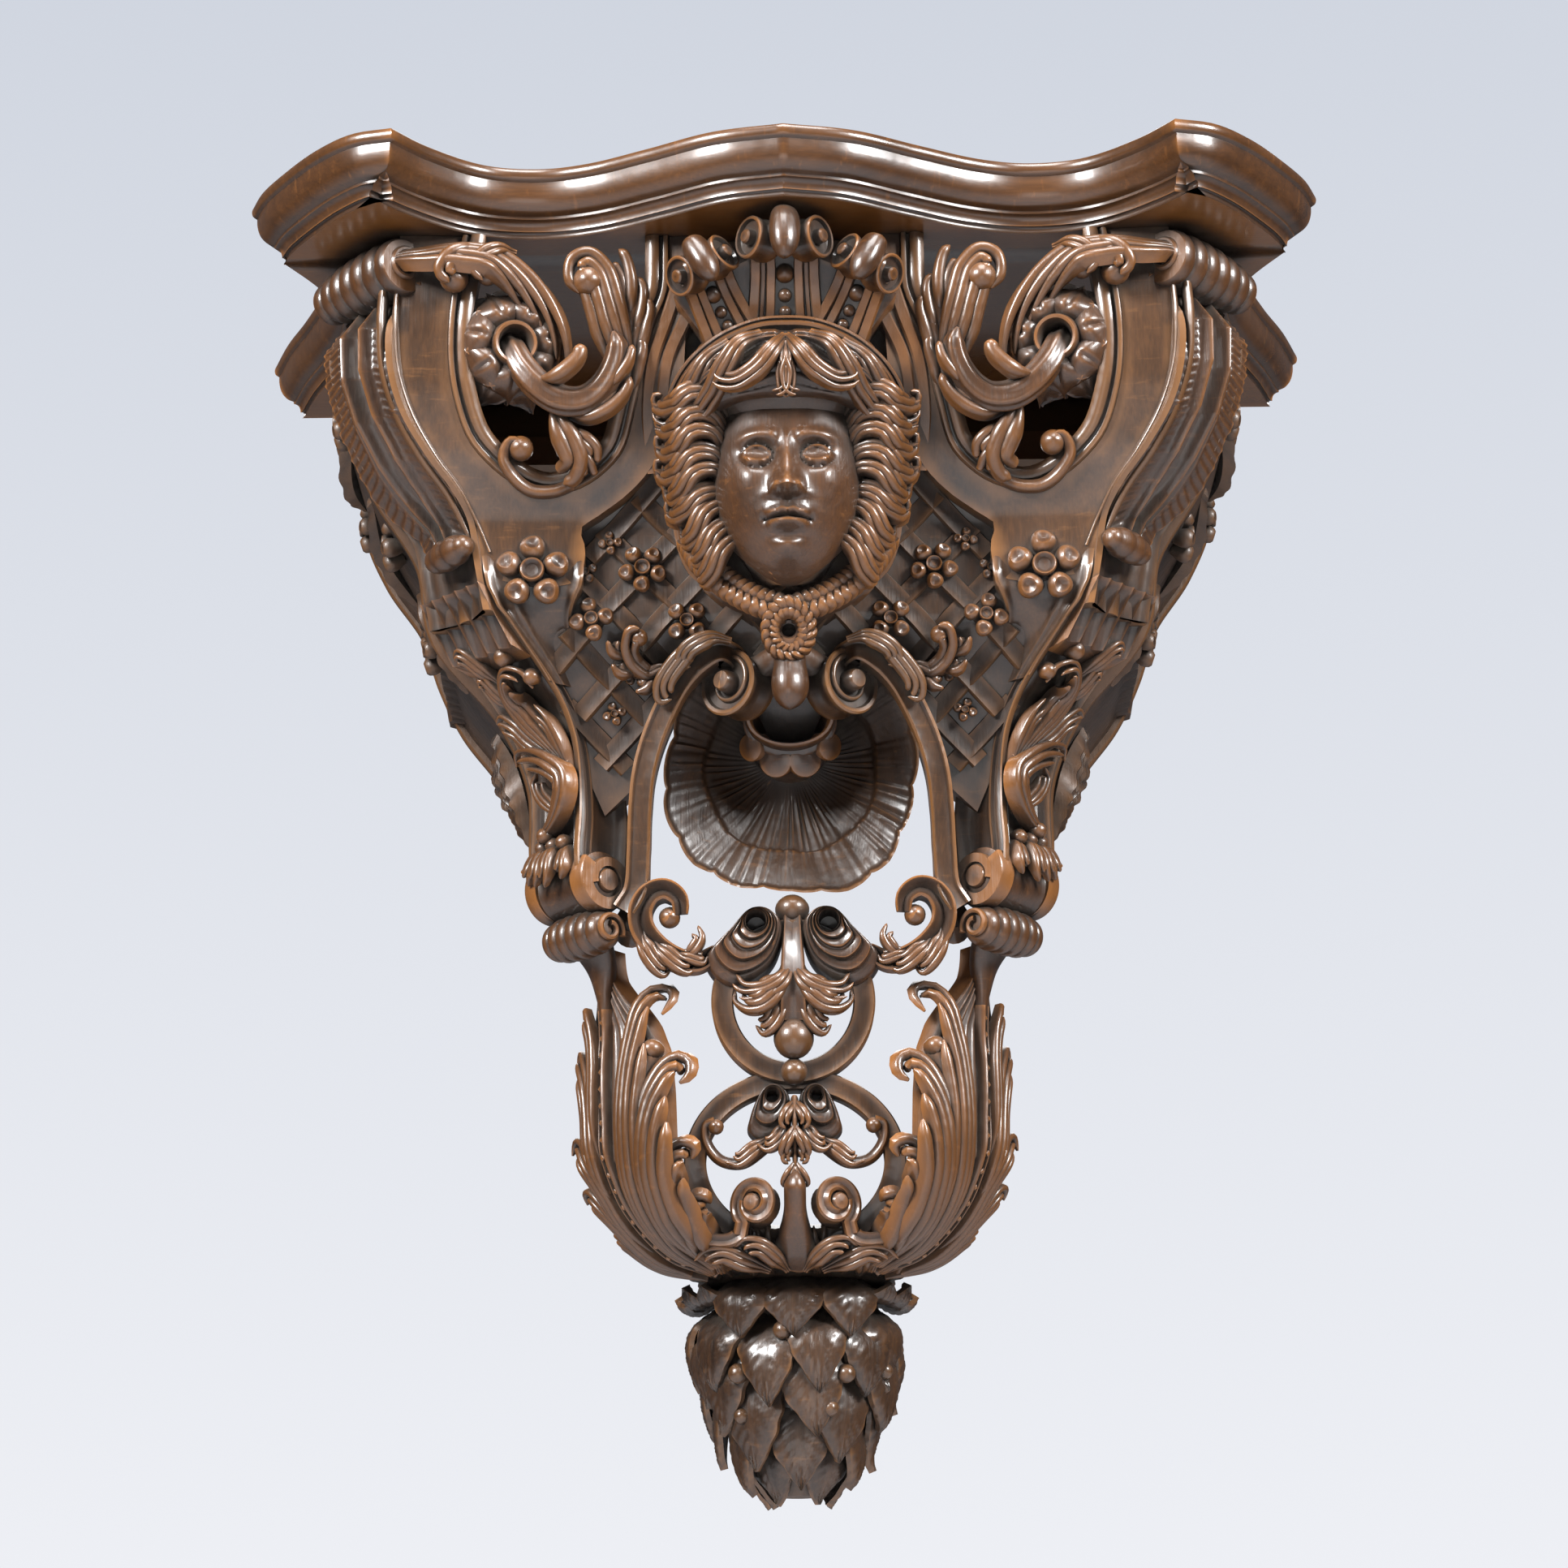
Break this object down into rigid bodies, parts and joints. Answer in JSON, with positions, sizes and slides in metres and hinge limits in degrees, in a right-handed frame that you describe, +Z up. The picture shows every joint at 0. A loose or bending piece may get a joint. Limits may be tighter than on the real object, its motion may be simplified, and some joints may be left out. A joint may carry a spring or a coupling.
{
  "type": "carved wall bracket",
  "caption": "Carved hardwood wall bracket: moulded serpentine shelf on two scroll consoles, with a mask, pierced scrollwork, a shell, acanthus arms and a laurel drop.",
  "frame": {"origin": "on the back face of the rail that lies against the wall, on the centre line, 50 mm below the shelf's top", "axes": "+X to the viewer's right along the wall, +Y into the wall, +Z up"},
  "size_m": [0.6, 0.33, 0.6713],
  "materials": {
    "carved_oak": "dark stained, waxed, worn paler on raised edges",
    "shelf_oak": "dark stained, polished and waxed",
    "rail_oak": "plain sawn and stained"
  },
  "bodies": {
    "root": {"shelf": "shelf_oak", "back_rail": "rail_oak", "carved_body": "carved_oak", "laurel_drop": "carved_oak"}
  },
  "joints": []
}
